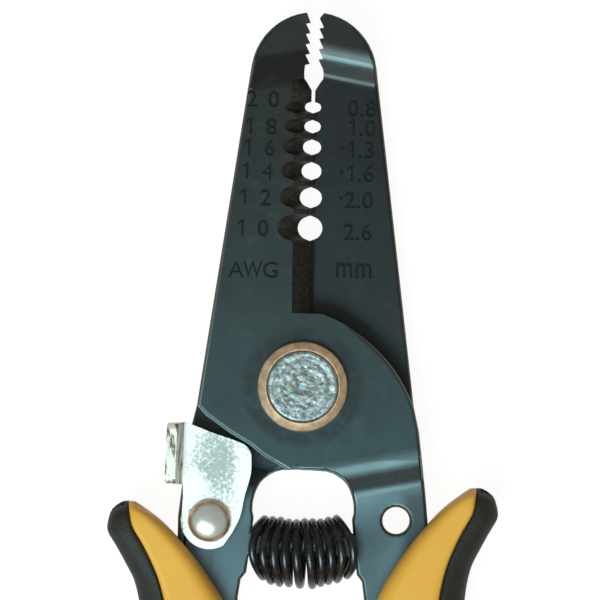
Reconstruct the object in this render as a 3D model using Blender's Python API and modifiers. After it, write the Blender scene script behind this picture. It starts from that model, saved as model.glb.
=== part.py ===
"""Shear-type wire stripper: two stamped steel levers on a riveted pivot, with a return
spring, a swinging lock latch and two-part handle grips.

Lengths are in millimetres and are turned to metres where a mesh is made. The origin is on
the pivot's axis, on the plane that the tool lies on; +Y runs to the jaw tips and +Z is up.
The head (jaws and gauge notches) has its own centre line, which leans a little off +Y.
Both levers are one outline, mirrored about that line. A point of a lever is written for
the front lever, whose jaw is on the left and whose handle is on the right.
"""
import math

import bmesh
import bpy
from mathutils import Matrix, Vector

MM = 0.001

# Levers
PLATE = 3.0                 # thickness of a lever
PLATE_GAP = 0.3             # clearance between the two levers
HEAD_LEAN = 1.43            # degrees, clockwise
HEAD_OFFSET = 0.39          # the head's centre line from the pivot
JAW_TIP = 41.5              # tip of the nose from the pivot, along the head
NOSE_RADIUS = 7.0
JAW_FOOT = (12.07, -2.3)    # lower outer corner of a jaw: distance from centre line, station
PIVOT_DISC_RADIUS = 17.29   # round shoulder below the blade
PIVOT_DISC_CENTRE = (-3.96, -8.1)
PIVOT_DISC_TURN = (69.0, 19.3)
# outer edge of the arm, then of the tang inside the grip's mouth
ARM = [(12.89, -4.9), (13.31, -8.59), (13.67, -12.27), (13.89, -15.1)]
UNDER_GRIP = [(13.95, -18.5), (13.75, -22.0), (13.4, -26.0)]
# inner edge, from inside the mouth up to the heel below the spring's seat
THROAT = [(7.9, -28.2), (7.3, -26.0)]
HEEL = [(6.81, -23.72), (6.58, -21.72)]

# Blades and gauge notches
TEETH = 5
TOOTH_PITCH = 1.15
TOOTH_DEPTH = 0.5
TOOTH_STEP = 0.12           # steep side of a tooth
FIRST_TOOTH = {-1: 1.05, 1: 0.55}   # from the nose's tip, on the left and the right jaw
NOSE_CHAMFER = (0.4, 0.06)  # across and along, beside the opening at the tip
NOSE_OPENING = 0.5          # from the head's centre line to a tooth's tip
SLIT = 0.19                 # half the slit above the smallest notch
SLIT_TOP = 32.9
BULB_WIDTH = 1.075
BLADE_END = 8.13
BLADE_LAP_TOP = 0.2         # how far a blade passes the centre line, at the top
BLADE_LAP_END = 0.47        # and at its lower end
BLADE_BEVEL = 2.27
BLADE_LAND = 0.4
BEVEL_TOP = 34.2
NOTCH_FLARE = 20.0          # degrees
NOTCH_FIT = 0.13
NOTCH_SHARE = 0.45          # of the wire's diameter that a notch's radius takes
# station along the head, wire diameter, how far the notch's centre is set back
NOTCHES = [(31.05, 0.8, 0.41), (28.9, 1.0, 0.33), (26.6, 1.3, 0.295),
           (23.95, 1.6, 0.255), (21.0, 2.0, 0.195), (17.6, 2.6, 0.07)]

# The bends that bring nose and tang to the middle plane
NOSE_BEND = 34.81
NOSE_BEND_LENGTH = 2.6
NOSE_BEND_SLOPE = 0.178
ARM_BEND = 10.1
ARM_BEND_LENGTH = 2.92
ARM_BEND_SLOPE = 0.18

# Pivot
RIVET_RADIUS = 3.95
RIVET_LIP = 1.65            # of the rear head, beyond the shank
RIVET_HEAD = 1.45
RIVET_STAND = 0.9           # of the peened end above the collar's foot
COLLAR_WALL = 0.93
COLLAR_BORE_GAP = 0.1
COLLAR_HEIGHT = 1.05
BACK_COLLAR_HEIGHT = 0.6
BORE_GAP = 0.1
SEAT_GAP = 0.3              # between pieces that lie on one another
PIVOT_EDGE = 0.45           # chamfer of the rivet's and the front collar's rims

# Latch
LATCH_PIVOT = (-10.37, -14.9)
SPARE_HOLE = (10.37, -14.9)
LATCH_SHEET = 1.2
LATCH_BEND_RADIUS = 1.0
LATCH_BEND = 78.0           # degrees
LATCH_TAB = 2.3             # straight height of the tab above its bend
LATCH_RIVET_RADIUS = 1.4
LATCH_RIVET_HEAD = 2.4
LATCH_TAIL_HEAD = 2.2       # radius of the rivet's rear end
LATCH_RIVET_DOME = 1.5
LATCH_RIVET_TAIL = 1.0

# Spring
SPRING_RADIUS = 3.05        # to the wire's centre, at the ends
SPRING_SWELL = 0.3          # more at the middle
SPRING_WIRE = 0.9
SPRING_TURNS = 9
SPRING_SAG = 0.8
SPRING_AXIS = -17.75        # its height in the tool's plane
SPRING_SEAT = 5.72          # half the distance between the arms there
PRONG_LENGTH = 2.3
PRONG_HALF = 1.4
PRONG_TAPER = 0.3
SEAT_SLANT = 0.12           # how far the seat leans over half a prong's width

# Grips
GRIP_WIDTH = 10.9
GRIP_THROAT = -30.0         # below it the grip has a constant width
GRIP_LENGTH = 92.5          # from the throat to the end's round
GRIP_COVER = 3.0            # width of the soft cover
GRIP_WALL = 1.3
GRIP_GAP = 0.3              # between a grip's two pieces, and round the tang
GRIP_EDGE = 1.1             # rounding of the core's and the cover's outer edges
LEFT_GRIP_DROP = 1.4
TANG_SHORT = 10.0           # how much sooner the tang ends than the grip's straight part
# share of the grip's length, distance of its middle from the tool's centre line
GRIP_LINE = [(0.0, 12.35), (0.15, 13.5), (0.32, 16.1), (0.49, 18.2), (0.65, 18.75),
             (0.84, 17.7), (1.0, 16.1)]

ROUND_STEPS = 32
FRONT, REAR = -1, 1         # which side a lever's jaw is on

# The rivet's head and the rear collar set how high the plane between the levers lies
MID = RIVET_HEAD + SEAT_GAP + BACK_COLLAR_HEIGHT + SEAT_GAP + PLATE + PLATE_GAP / 2
GRIP_THICKNESS = 2 * MID    # the grips lie level with the rivet's head
LEAN = math.radians(HEAD_LEAN)
JOGGLE = (PLATE + PLATE_GAP) / 2
TANG_LOW = MID - PLATE / 2
TANG_HIGH = MID + PLATE / 2


def clear_scene():
    for obj in list(bpy.data.objects):
        bpy.data.objects.remove(obj)


def collection(name):
    found = bpy.data.collections.new(name)
    bpy.context.scene.collection.children.link(found)
    return found


def material(name, colour, roughness, metallic):
    made = bpy.data.materials.new(name)
    made.use_nodes = True
    shader = made.node_tree.nodes["Principled BSDF"]
    shader.inputs["Base Color"].default_value = (*colour, 1.0)
    shader.inputs["Roughness"].default_value = roughness
    shader.inputs["Metallic"].default_value = metallic
    return made


# Points and outlines ------------------------------------------------------------------

def from_head(across, along):
    """A point of the head's own frame in the tool's frame."""
    x = (across + HEAD_OFFSET) * math.cos(LEAN) + along * math.sin(LEAN)
    y = -(across + HEAD_OFFSET) * math.sin(LEAN) + along * math.cos(LEAN)
    return x, y


def to_head(x, y):
    across = x * math.cos(LEAN) - y * math.sin(LEAN) - HEAD_OFFSET
    along = x * math.sin(LEAN) + y * math.cos(LEAN)
    return across, along


def arc(centre, radius, start, end, steps):
    """Points on an arc, from one angle to another, in degrees."""
    angles = [math.radians(start + (end - start) * i / steps) for i in range(steps + 1)]
    return [(centre[0] + radius * math.cos(a), centre[1] + radius * math.sin(a))
            for a in angles]


def curve_through(points, steps):
    """A smooth curve through the points, with the given number of steps in each span."""
    ends = [points[0]] + list(points) + [points[-1]]
    curve = [points[0]]
    for before, start, end, after in zip(ends, ends[1:], ends[2:], ends[3:]):
        for i in range(1, steps + 1):
            t = i / steps
            curve.append(tuple(
                0.5 * (2 * q + (r - p) * t + (2 * p - 5 * q + 4 * r - s) * t ** 2
                       + (3 * q - p - 3 * r + s) * t ** 3)
                for p, q, r, s in zip(before, start, end, after)))
    return curve


def blade_lap(along):
    share = (along - BLADE_END) / (SLIT_TOP - BLADE_END)
    return BLADE_LAP_END + (BLADE_LAP_TOP - BLADE_LAP_END) * share


def notch(along, wire, setback, top_edge=None):
    """One gauge notch, from its upper flare to its lower one."""
    radius = NOTCH_FIT + NOTCH_SHARE * wire
    flare = math.radians(NOTCH_FLARE)
    edge = blade_lap(along)
    top_edge = edge if top_edge is None else top_edge
    upper = radius / math.cos(flare) + math.tan(flare) * (top_edge + setback)
    lower = radius / math.cos(flare) + math.tan(flare) * (edge + setback)
    bowl = arc((-setback, along), radius, 90 + NOTCH_FLARE, 270 - NOTCH_FLARE, 8)
    return [(top_edge, along + upper)] + bowl + [(edge, along - lower)]


def teeth(side):
    """The nose's saw teeth from the tip down; the two jaws' teeth point opposite ways."""
    points = [(-NOSE_OPENING - NOSE_CHAMFER[0], JAW_TIP - NOSE_CHAMFER[1])]
    fall = TOOTH_STEP if side == FRONT else TOOTH_PITCH - TOOTH_STEP
    for i in range(TEETH):
        tip = JAW_TIP - FIRST_TOOTH[side] - i * TOOTH_PITCH
        valley = tip - fall
        points += [(-NOSE_OPENING, tip), (-NOSE_OPENING - TOOTH_DEPTH, valley)]
    return points


def blade(side):
    """The cutting edge from the bulb down: pairs of a point at the mating face and the
    same point at the outer face, where the bevel has moved it back."""
    bulb = [(-BULB_WIDTH, 34.95), (-BULB_WIDTH + 0.04, BEVEL_TOP + 0.05)]
    upright = [(point, point) for point in teeth(side) + bulb]
    neck = [(-BULB_WIDTH + 0.05, BEVEL_TOP), (-0.76, 33.85), (-0.42, 33.3), (-SLIT, SLIT_TOP)]
    upright += [((w, v), (-SLIT - BLADE_BEVEL, v)) for w, v in neck]
    edge = notch(*NOTCHES[0], top_edge=-SLIT)
    for each in NOTCHES[1:]:
        edge += notch(*each)
    edge.append((BLADE_LAP_END, BLADE_END))
    return upright + [((w, v), (w - BLADE_BEVEL, v)) for w, v in edge]


def jaw_back():
    """The outer side of a jaw, from its foot up round the nose to the tip."""
    nose_centre = (0.0, JAW_TIP - NOSE_RADIUS + 0.1)
    nose = arc(nose_centre, NOSE_RADIUS, 172, 98, 10)
    return [(-JAW_FOOT[0], JAW_FOOT[1])] + nose


def grip_middle(along):
    """Distance of a grip's middle from the tool's centre line, at a share of its length."""
    line = curve_through([(share, x) for share, x in GRIP_LINE], 8)
    for (a, x), (b, far) in zip(line, line[1:]):
        if along <= b:
            return x + (far - x) * (along - a) / (b - a)
    return line[-1][1]


def grip_stations(length, steps=12):
    return [(i * length / steps / GRIP_LENGTH, GRIP_THROAT - i * length / steps)
            for i in range(steps + 1)]


def grip_side(offset, length=None, steps=12):
    """A line along the grip below its throat, at a distance from its middle."""
    stations = grip_stations(GRIP_LENGTH if length is None else length, steps)
    return [(grip_middle(share) + offset, y) for share, y in stations]


def tang_edges(clearance=0.0):
    """The two long edges of the tang inside a grip, from the throat down: in, out."""
    length = GRIP_LENGTH - TANG_SHORT + clearance
    inner = grip_side(-GRIP_WIDTH / 2 + GRIP_WALL + GRIP_GAP - clearance, length)
    outer = grip_side(GRIP_WIDTH / 2 - GRIP_COVER - GRIP_WALL - GRIP_GAP + clearance, length)
    return inner, outer


def place_lever(side, point):
    """A point of the front lever, in the tool's frame, for the lever on the given side."""
    if side == FRONT:
        return point
    across, along = to_head(*point)
    return from_head(-across, along)


def place_grip(side, point):
    """A point of the right grip, for the grip of the lever on the given side."""
    if side == FRONT:
        return point
    return -point[0], point[1] - LEFT_GRIP_DROP


def lever_outline(side):
    """Pairs of points round a lever, at its mating face and at its outer face."""
    def both(points):
        return [(p, p) for p in points]

    jaw = [tuple(from_head(-side * w, v) for w, v in pair) for pair in blade(side)]
    shoulder = arc(PIVOT_DISC_CENTRE, PIVOT_DISC_RADIUS, *PIVOT_DISC_TURN, 12)
    tang_in, tang_out = tang_edges()
    handle = UNDER_GRIP + tang_out + tang_in[::-1] + THROAT
    low, high = SPRING_AXIS - PRONG_HALF, SPRING_AXIS + PRONG_HALF
    prong = [(SPRING_SEAT + SEAT_SLANT, low),
             (SPRING_SEAT - PRONG_LENGTH, low + PRONG_TAPER),
             (SPRING_SEAT - PRONG_LENGTH, high - PRONG_TAPER),
             (SPRING_SEAT - SEAT_SLANT, high)]
    seat = HEEL + [(6.01, -20.93)] + prong + [(5.49, -14.83), (5.67, -14.06)]
    window = curve_through([(5.67, -13.22), (5.48, -12.21), (4.93, -10.92), (3.91, -10.0),
                            (2.62, -9.45), (-0.32, -9.27)], 2)
    nick = [(-0.6, -8.57), (-1.7, -9.27)]
    diagonal = [(-4.29, -7.79), (-5.92, -6.46), (-8.04, -5.19), (-10.74, -3.2)]
    lower = shoulder + ARM
    body = both([place_lever(side, p) for p in lower])
    body += both([place_grip(side, p) for p in handle])
    body += both([place_lever(side, p) for p in seat + window + nick + diagonal])
    back = both([from_head(-side * w, v) for w, v in jaw_back()])
    return jaw + body + back


# Meshes -------------------------------------------------------------------------------

def as_object(name, mesh, group, finish=None):
    obj = bpy.data.objects.new(name, mesh)
    if finish is not None:
        obj.data.materials.append(finish)
    group.objects.link(obj)
    return obj


def finish_mesh(name, bm, group, finish=None):
    """Turns a bmesh in millimetres into an object in metres."""
    bmesh.ops.recalc_face_normals(bm, faces=bm.faces)
    bmesh.ops.transform(bm, matrix=Matrix.Scale(MM, 4), verts=bm.verts)
    mesh = bpy.data.meshes.new(name)
    bm.to_mesh(mesh)
    bm.free()
    return as_object(name, mesh, group, finish)


def extrude_up(bm, face, height):
    """Extrudes one flat face along Z and returns the new far face."""
    made = bmesh.ops.extrude_face_region(bm, geom=[face])["geom"]
    verts = [item for item in made if isinstance(item, bmesh.types.BMVert)]
    bmesh.ops.translate(bm, verts=verts, vec=(0, 0, height))
    return next(item for item in made if isinstance(item, bmesh.types.BMFace))


def slab(outline, low, high):
    """A closed flat solid of the outline."""
    bm = bmesh.new()
    extrude_up(bm, bm.faces.new([bm.verts.new((x, y, low)) for x, y in outline]), high - low)
    return bm


def turned(name, profile, group, finish, centre=(0.0, 0.0)):
    """A solid of revolution; the profile runs down its outer side."""
    mesh = bpy.data.meshes.new(name)
    closed = profile[0][0] > 0
    count = len(profile)
    edges = [(i, (i + 1) % count) for i in range(count if closed else count - 1)]
    mesh.from_pydata([(r * MM, 0, z * MM) for r, z in profile], edges, [])
    obj = as_object(name, mesh, group, finish)
    obj.location = (centre[0] * MM, centre[1] * MM, 0)
    screw = obj.modifiers.new("Turn", "SCREW")
    screw.steps = screw.render_steps = ROUND_STEPS
    screw.use_merge_vertices = True
    screw.merge_threshold = 0.00001
    screw.use_smooth_shade = False
    return obj


def cylinder_cutter(name, centre, radius, group):
    bm = bmesh.new()
    bmesh.ops.create_cone(bm, cap_ends=True, segments=ROUND_STEPS, radius1=radius,
                          radius2=radius, depth=2 * GRIP_THICKNESS)
    bmesh.ops.translate(bm, verts=bm.verts, vec=(centre[0], centre[1], MID))
    return as_cutter(finish_mesh(name, bm, group))


def as_cutter(obj):
    obj.hide_render = True
    obj.display_type = "WIRE"
    return obj


def cut(obj, cutter):
    modifier = obj.modifiers.new(cutter.name, "BOOLEAN")
    modifier.operation = "DIFFERENCE"
    modifier.solver = "EXACT"
    modifier.object = cutter


# Levers -------------------------------------------------------------------------------

def bend_share(station, start, length):
    return min(max((station - start) / length, 0.0), 1.0)


def nose_station(side, x, y):
    across, along = to_head(x, y)
    return along + NOSE_BEND_SLOPE * side * across


def arm_station(side, x, y):
    x, y = place_lever(side, (x, y))
    return -y + ARM_BEND_SLOPE * x


def split_at(bm, station, side, value):
    """Cuts all faces along the line where a station function has the given value."""
    here = station(side, 0.0, 0.0)
    slope = Vector((station(side, 1.0, 0.0) - here, station(side, 0.0, 1.0) - here, 0.0))
    point = slope * (value - here) / slope.length_squared
    bmesh.ops.bisect_plane(bm, geom=bm.verts[:] + bm.edges[:] + bm.faces[:], dist=0.0001,
                           plane_co=point, plane_no=slope.normalized())


def lever(name, side, group, finish):
    """A stamped lever: its land, its bevelled blade, and the two bends."""
    pairs = lever_outline(side)
    out = -side
    bm = bmesh.new()
    place = bm.verts.layers.int.new("place")
    verts = [bm.verts.new((*inner, 0.0)) for inner, _ in pairs]
    for i, vert in enumerate(verts):
        vert[place] = i
    land = extrude_up(bm, bm.faces.new(verts), BLADE_LAND)
    outer = extrude_up(bm, land, PLATE - BLADE_LAND)
    bm.faces.remove(land)
    for vert in outer.verts:
        vert.co.x, vert.co.y = pairs[vert[place]][1]
    for start, length, station in ((NOSE_BEND, NOSE_BEND_LENGTH, nose_station),
                                   (ARM_BEND, ARM_BEND_LENGTH, arm_station)):
        split_at(bm, station, side, start)
        split_at(bm, station, side, start + length)
    for vert in bm.verts:
        x, y, level = vert.co
        shift = bend_share(nose_station(side, x, y), NOSE_BEND, NOSE_BEND_LENGTH)
        shift += bend_share(arm_station(side, x, y), ARM_BEND, ARM_BEND_LENGTH)
        vert.co.z = MID + out * (PLATE_GAP / 2 + level - JOGGLE * shift)
    return finish_mesh(name, bm, group, finish)


# Grips --------------------------------------------------------------------------------

def grip_boundary():
    """The line between a grip's core and its cover, from the horn to the end's round."""
    horn = curve_through([(19.3, -11.32), (19.2, -12.5), (18.83, -14.16), (17.82, -15.91),
                          (16.71, -18.12), (15.8, -20.52), (15.1, -23.66), (14.85, -27.0)], 2)
    return horn + grip_side(GRIP_WIDTH / 2 - GRIP_COVER)


def grip_end(start, end):
    middle = (grip_middle(1.0), GRIP_THROAT - GRIP_LENGTH)
    return arc(middle, GRIP_WIDTH / 2, start, end, 10)


def core_outline():
    inner = curve_through([(18.66, -11.36), (17.63, -12.04), (15.8, -13.42), (13.96, -15.27),
                           (12.11, -17.39), (10.27, -19.97), (8.9, -22.2), (7.9, -24.6),
                           (7.15, -27.2)], 2)
    turn = math.degrees(math.acos(1 - 2 * GRIP_COVER / GRIP_WIDTH))
    return (inner + grip_side(-GRIP_WIDTH / 2) + grip_end(180, 360 - turn)[1:]
            + grip_boundary()[::-1])


def cover_outline():
    outer = curve_through([(19.94, -11.36), (20.68, -11.77), (21.32, -12.5), (21.69, -14.07),
                           (21.51, -14.9), (20.68, -16.28), (19.67, -18.12), (18.74, -19.97),
                           (18.19, -22.18), (17.9, -25.0)], 2)
    turn = math.degrees(math.acos(1 - 2 * (GRIP_COVER - GRIP_GAP) / GRIP_WIDTH))
    inside = [(x + GRIP_GAP, y) for x, y in grip_boundary()]
    return (inside + grip_end(-turn, 0)[:-1] + (outer + grip_side(GRIP_WIDTH / 2))[::-1])


def rounded_slab(name, outline, kept, group, finish):
    """A slab over the grip's thickness, its outer edges rounded where kept() says."""
    bm = slab(outline, 0.0, GRIP_THICKNESS)
    rims = [edge for edge in bm.edges
            if abs(edge.verts[0].co.z - edge.verts[1].co.z) < 0.001
            and all(kept(vert.co.x, vert.co.y) for vert in edge.verts)]
    bmesh.ops.bevel(bm, geom=rims, offset=GRIP_EDGE, segments=2, profile=0.5,
                    affect="EDGES", material=-1)
    return finish_mesh(name, bm, group, finish)


def pocket_cutter(name, side, group):
    """The room for the tang in a core, open at the grip's mouth."""
    tang_in, tang_out = tang_edges(GRIP_GAP)
    mouth = [(x + GRIP_GAP, y) for x, y in ARM[2:] + UNDER_GRIP]
    back = [(x - GRIP_GAP, y) for x, y in THROAT + HEEL + [(SPRING_SEAT, ARM[2][1])]]
    outline = [place_grip(side, p) for p in mouth + tang_out + tang_in[::-1] + back]
    return as_cutter(finish_mesh(name, slab(outline, TANG_LOW - GRIP_GAP,
                                            TANG_HIGH + GRIP_GAP), group))


def grip(prefix, side, parts, cutters, core_finish, cover_finish):
    reach = grip_boundary()

    def off_boundary(shift):
        line = [place_grip(side, (x + shift, y)) for x, y in reach]
        return lambda x, y: all(math.hypot(x - bx, y - by) > 0.01 for bx, by in line)

    core = rounded_slab(prefix + "_grip_core", [place_grip(side, p) for p in core_outline()],
                        off_boundary(0.0), parts, core_finish)
    cut(core, pocket_cutter(prefix + "_tang_pocket", side, cutters))
    cover = rounded_slab(prefix + "_grip_cover", [place_grip(side, p) for p in cover_outline()],
                         off_boundary(GRIP_GAP), parts, cover_finish)
    return core, cover


# Pivot, latch and spring --------------------------------------------------------------

def pivot(parts, steel, copper):
    """The rivet that holds both levers, and the collars round its two ends."""
    front_face = MID + PLATE_GAP / 2 + PLATE
    back_face = MID - PLATE_GAP / 2 - PLATE
    foot = front_face + SEAT_GAP
    top = foot + RIVET_STAND
    edge = PIVOT_EDGE
    head = RIVET_RADIUS + RIVET_LIP
    turned("pivot_rivet", [(0, top), (RIVET_RADIUS - edge, top), (RIVET_RADIUS, top - edge),
                           (RIVET_RADIUS, RIVET_HEAD), (head, RIVET_HEAD), (head, edge),
                           (head - edge, 0), (0, 0)],
           parts, steel)
    bore = RIVET_RADIUS + COLLAR_BORE_GAP
    rim = bore + COLLAR_WALL
    high = foot + COLLAR_HEIGHT
    turned("front_pivot_collar", [(rim - edge, high), (rim, high - edge), (rim, foot),
                                  (bore, foot), (bore, high)],
           parts, copper)
    low = back_face - SEAT_GAP - BACK_COLLAR_HEIGHT
    turned("rear_pivot_collar", [(rim, back_face - SEAT_GAP), (rim, low), (bore, low),
                                 (bore, back_face - SEAT_GAP)], parts, copper)


def latch_outline():
    """The latch plate round from the lower to the upper end of its bend line."""
    foot = arc(LATCH_PIVOT, 3.15, 170, 300, 9)
    side = [(-7.78, -16.17), (-6.92, -14.39), (-6.41, -12.09), (-5.9, -10.39), (-5.68, -9.22)]
    shoulder = [(-5.68, -7.73), (-5.86, -7.1), (-6.42, -6.46), (-7.48, -5.97)]
    return foot + side + shoulder + [(-10.18, -5.04), (-12.02, -4.3)]


def latch(parts, cutters, zinc):
    """A sheet-metal latch with a thumb tab bent up along its outer side."""
    bend_low, bend_high = Vector((-13.3, -10.9, 0)), Vector((-12.98, -3.94, 0))
    centre = Vector((*LATCH_PIVOT, 0))
    bm = bmesh.new()
    flat = [Vector((x, y, 0)) for x, y in latch_outline()] + [bend_high, bend_low]
    verts = [bm.verts.new(point - centre) for point in flat]
    bm.faces.new(verts)
    along = (bend_high - bend_low).normalized()
    outward = Vector((-along.y, along.x, 0))
    row = verts[-2:]
    steps = [LATCH_BEND * i / 4 for i in range(1, 5)]
    places = [(LATCH_BEND_RADIUS * math.sin(math.radians(a)),
               LATCH_BEND_RADIUS * (1 - math.cos(math.radians(a))), 0.15) for a in steps]
    lean = math.radians(LATCH_BEND)
    for rise, narrowing in ((0.7, 0.0), (0.92, 0.25), (1.0, 0.55)):
        places.append((places[3][0] + LATCH_TAB * rise * math.cos(lean),
                       places[3][1] + LATCH_TAB * rise * math.sin(lean), narrowing))
    for reach, height, narrowing in places:
        made = bmesh.ops.extrude_edge_only(bm, edges=[bm.edges.get(row)])["geom"]
        new = [item for item in made if isinstance(item, bmesh.types.BMVert)]
        new.sort(key=lambda vert: -vert.co.y)
        for vert, corner, inward in zip(new, (bend_high, bend_low), (-along, along)):
            vert.co = corner - centre + outward * reach + inward * narrowing
            vert.co.z = height
        row = new
    obj = finish_mesh("lock_latch", bm, parts, zinc)
    obj.location = (LATCH_PIVOT[0] * MM, LATCH_PIVOT[1] * MM,
                    (TANG_HIGH + SEAT_GAP + LATCH_SHEET / 2) * MM)
    sheet = obj.modifiers.new("Sheet", "SOLIDIFY")
    sheet.thickness = LATCH_SHEET * MM
    sheet.offset = 0.0
    sheet.use_even_offset = True
    cut(obj, cylinder_cutter("latch_hole", LATCH_PIVOT, LATCH_RIVET_RADIUS + BORE_GAP, cutters))
    return obj


def latch_rivet(parts, steel):
    seat = TANG_HIGH + LATCH_SHEET + 2 * SEAT_GAP
    dome = [(LATCH_RIVET_HEAD * math.sin(math.radians(a)),
             seat + LATCH_RIVET_DOME * math.cos(math.radians(a))) for a in range(0, 91, 15)]
    tail = TANG_LOW - SEAT_GAP
    profile = dome + [(LATCH_RIVET_RADIUS, seat), (LATCH_RIVET_RADIUS, tail),
                      (LATCH_TAIL_HEAD, tail),
                      (LATCH_TAIL_HEAD, tail - LATCH_RIVET_TAIL),
                      (0, tail - LATCH_RIVET_TAIL)]
    return turned("latch_rivet", profile, parts, steel, LATCH_PIVOT)


def spring(parts, black):
    """A compression spring between the arms, bowed towards the handles."""
    per_turn = 12
    half = SPRING_SEAT - SEAT_GAP - SPRING_WIRE / 2 - 0.1
    count = SPRING_TURNS * per_turn
    data = bpy.data.curves.new("return_spring", "CURVE")
    data.dimensions = "3D"
    data.bevel_depth = SPRING_WIRE / 2 * MM
    data.bevel_resolution = 2
    data.use_fill_caps = True
    wire = data.splines.new("POLY")
    wire.points.add(count)
    for i, point in enumerate(wire.points):
        share = 2 * i / count - 1
        bulge = 1 - share ** 2
        radius = SPRING_RADIUS + SPRING_SWELL * bulge
        turn = 2 * math.pi * i / per_turn
        lean = share * 0.085
        up = radius * math.cos(turn)
        x = half * share + up * math.sin(-lean)
        y = SPRING_AXIS - SPRING_SAG * bulge + up * math.cos(lean)
        point.co = (x * MM, y * MM, (MID + radius * math.sin(turn)) * MM, 1)
    obj = bpy.data.objects.new("return_spring", data)
    obj.data.materials.append(black)
    parts.objects.link(obj)
    return obj


def empty_at(name, point, group, parent=None):
    obj = bpy.data.objects.new(name, None)
    obj.empty_display_size = 0.01
    obj.location = (point[0] * MM, point[1] * MM, 0)
    group.objects.link(obj)
    obj.parent = parent
    return obj


def carry(parent, *children):
    """Parents pieces to an empty without moving them."""
    bpy.context.view_layer.update()
    for child in children:
        child.parent = parent
        child.matrix_parent_inverse = parent.matrix_world.inverted()


def build():
    clear_scene()
    parts = collection("wire_stripper")
    cutters = collection("cutters")
    black_oxide = material("black_oxide", (0.045, 0.06, 0.065), 0.45, 0.7)
    spring_steel = material("spring_steel", (0.02, 0.02, 0.02), 0.35, 0.8)
    bare_steel = material("bare_steel", (0.6, 0.6, 0.6), 0.35, 1.0)
    copper = material("copper", (0.6, 0.35, 0.22), 0.4, 1.0)
    zinc = material("zinc", (0.75, 0.78, 0.78), 0.35, 1.0)
    yellow = material("yellow_plastic", (0.73, 0.4, 0.07), 0.5, 0.0)
    soft_black = material("soft_black", (0.03, 0.03, 0.03), 0.7, 0.0)

    front = lever("front_lever", FRONT, parts, black_oxide)
    rear = lever("rear_lever", REAR, parts, black_oxide)
    bore = cylinder_cutter("pivot_bore", (0, 0), RIVET_RADIUS + BORE_GAP, cutters)
    hole = LATCH_RIVET_RADIUS + BORE_GAP
    cut(front, bore)
    cut(rear, bore)
    cut(front, cylinder_cutter("spare_hole", SPARE_HOLE, hole, cutters))
    cut(rear, cylinder_cutter("latch_rivet_hole", LATCH_PIVOT, hole, cutters))

    pivot(parts, bare_steel, copper)
    rivet = latch_rivet(parts, bare_steel)
    plate = latch(parts, cutters, zinc)
    spring(parts, spring_steel)
    grip("right", FRONT, parts, cutters, yellow, soft_black)
    left = grip("left", REAR, parts, cutters, yellow, soft_black)

    jaw_axis = empty_at("jaw_axis", (0, 0), parts)
    latch_axis = empty_at("latch_axis", LATCH_PIVOT, parts, jaw_axis)
    carry(jaw_axis, rear, rivet, *left)
    carry(latch_axis, plate)


build()
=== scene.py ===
"""Looks of the wire stripper, built round its plain parts.

Lengths here are in millimetres until a mesh is finished. The tool lies with its pivot on the
origin, its jaw tips towards +Y and its marked face up. The head has its own centre line,
which leans a little off +Y; lever shapes are written for the front lever, and the rear
lever's are mirrored about that line.
"""
import math

import bmesh
import bpy
from mathutils import Matrix, Vector, noise


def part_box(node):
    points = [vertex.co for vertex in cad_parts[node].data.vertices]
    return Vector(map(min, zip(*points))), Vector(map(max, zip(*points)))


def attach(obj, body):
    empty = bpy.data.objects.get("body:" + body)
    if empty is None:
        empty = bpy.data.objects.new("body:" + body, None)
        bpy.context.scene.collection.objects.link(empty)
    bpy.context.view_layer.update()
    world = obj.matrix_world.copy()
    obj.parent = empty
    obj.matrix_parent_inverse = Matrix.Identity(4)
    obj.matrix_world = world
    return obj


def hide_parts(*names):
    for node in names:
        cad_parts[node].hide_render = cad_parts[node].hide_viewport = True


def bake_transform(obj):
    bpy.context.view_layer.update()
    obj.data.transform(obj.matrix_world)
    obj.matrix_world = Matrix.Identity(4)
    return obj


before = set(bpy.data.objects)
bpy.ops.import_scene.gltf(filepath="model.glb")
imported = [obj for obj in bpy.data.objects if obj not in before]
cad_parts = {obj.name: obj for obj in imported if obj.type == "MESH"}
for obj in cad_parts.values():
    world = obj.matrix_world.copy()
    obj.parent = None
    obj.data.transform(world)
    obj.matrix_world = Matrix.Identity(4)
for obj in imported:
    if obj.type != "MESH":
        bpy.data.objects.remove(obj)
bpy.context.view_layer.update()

MM = 0.001
FRONT, REAR = -1, 1             # which side a lever's jaw is on

# The head's own frame and the two bends of each lever, as the plain parts have them
LEAN = math.radians(1.43)
HEAD_OFFSET = 0.39
JOGGLE = 1.65
CONVEX, CONCAVE = 1.2, 0.35     # half the length over which a bend turns
ARM_REST, ARM_REST_LENGTH = 0.2, 1.6  # the share of the arm's bend that tails off, and over what
NOSE_BEND, NOSE_BEND_LENGTH, NOSE_BEND_SLOPE = 34.81, 2.6, 0.178
ARM_BEND, ARM_BEND_LENGTH, ARM_BEND_SLOPE = 10.1, 2.92, 0.18
NICK = (-0.6, -8.57)            # the corner of the small nick over the mouth

# Blade
BLADE_START = 7.0               # along the head, where the ground edge begins
BLADE_REACH = 4.0               # from the head's centre line to the funnels' far ends

# Levels, read from the plain parts
PLATE = 3.0
PLATE_GAP = 0.3
FRONT_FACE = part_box("front_lever")[1].z / MM
MIDDLE = FRONT_FACE - PLATE - PLATE_GAP / 2
REAR_FACE = MIDDLE - PLATE_GAP / 2
LATCH_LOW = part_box("lock_latch")[0].z / MM
GRIP_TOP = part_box("right_grip_core")[1].z / MM

# Lever surface
LEVER_RIM = 0.45                # how far the outline is eased
SAME_WAY = 0.998                # cosine of under 4 degrees
ALMOST_LEVEL = 0.8              # cosine of 37 degrees

# Stamped marks
MARK_HEIGHT = 1.85
MARK_DEPTH = 0.16
MARK_STROKE = 0.035             # widens every stroke, but not where it would close a corner
THIN_MARKS = "AW4"

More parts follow.
